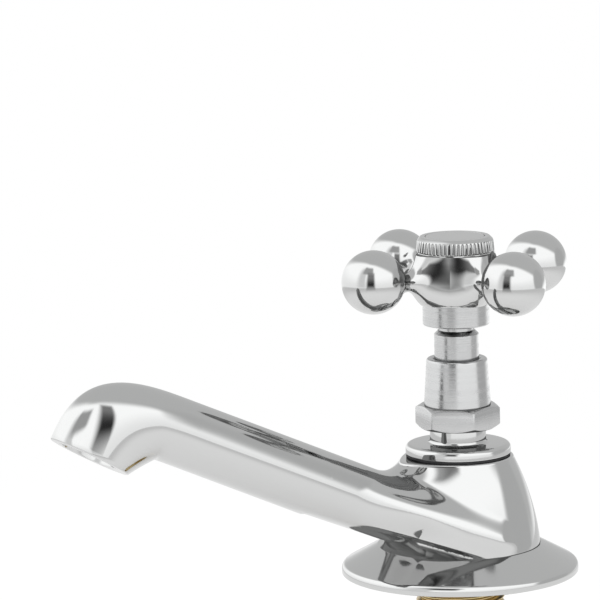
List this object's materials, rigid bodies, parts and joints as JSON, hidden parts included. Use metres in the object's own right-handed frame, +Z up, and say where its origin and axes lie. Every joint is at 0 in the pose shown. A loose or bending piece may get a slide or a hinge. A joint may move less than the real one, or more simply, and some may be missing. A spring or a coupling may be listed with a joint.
{
  "type": "cross handle tap",
  "caption": "Chrome pillar basin tap with a rising round spout, a round deck flange, a threaded tail and a cross handle with ball ends.",
  "frame": {"origin": "on the tap's turning axis, at the underside of the deck flange", "axes": "+Z up along the spindle, -Y out along the spout"},
  "size_m": [0.0612, 0.1397, 0.1262],
  "materials": {
    "chrome_plate": "polished",
    "satin_chrome": "fine turned rings",
    "raw_brass": "machined",
    "zinc_steel": "zinc plated",
    "seal_rubber": "matt",
    "graphite_packing": "matt",
    "fibre_gasket": "matt"
  },
  "bodies": {
    "tap": {"body": "chrome_plate", "base_flange": "chrome_plate", "deck_gasket": "seal_rubber", "inlet_tail": "raw_brass", "tail_seal": "fibre_gasket", "fixing_washer": "zinc_steel", "back_nut": "raw_brass", "bonnet_gasket": "fibre_gasket", "bonnet": "chrome_plate", "gland_nut": "satin_chrome", "gland_packing": "graphite_packing", "packing_follower": "raw_brass"},
    "valve": {"jumper": "raw_brass", "tap_washer": "seal_rubber", "washer_nut": "raw_brass"},
    "handle": {"spindle": "satin_chrome", "cross_handle": "chrome_plate", "screw_washer": "zinc_steel", "handle_screw": "zinc_steel", "cap_ring": "satin_chrome", "index_disc": "chrome_plate"}
  },
  "joints": [
    {"name": "jumper_lift", "type": "slide", "parent": "tap", "child": "valve", "axis": [0, 0, 1], "range_m": [0, 0.00375]},
    {"name": "handle_turn", "type": "hinge", "parent": "valve", "child": "handle", "pos_m": [0, 0, 0], "axis": [0, 0, 1], "range_deg": [0, 450.2]}
  ],
  "couplings": [
    {"joint": "handle_turn", "follows": "jumper_lift", "rad_per_m": 2094.4}
  ]
}
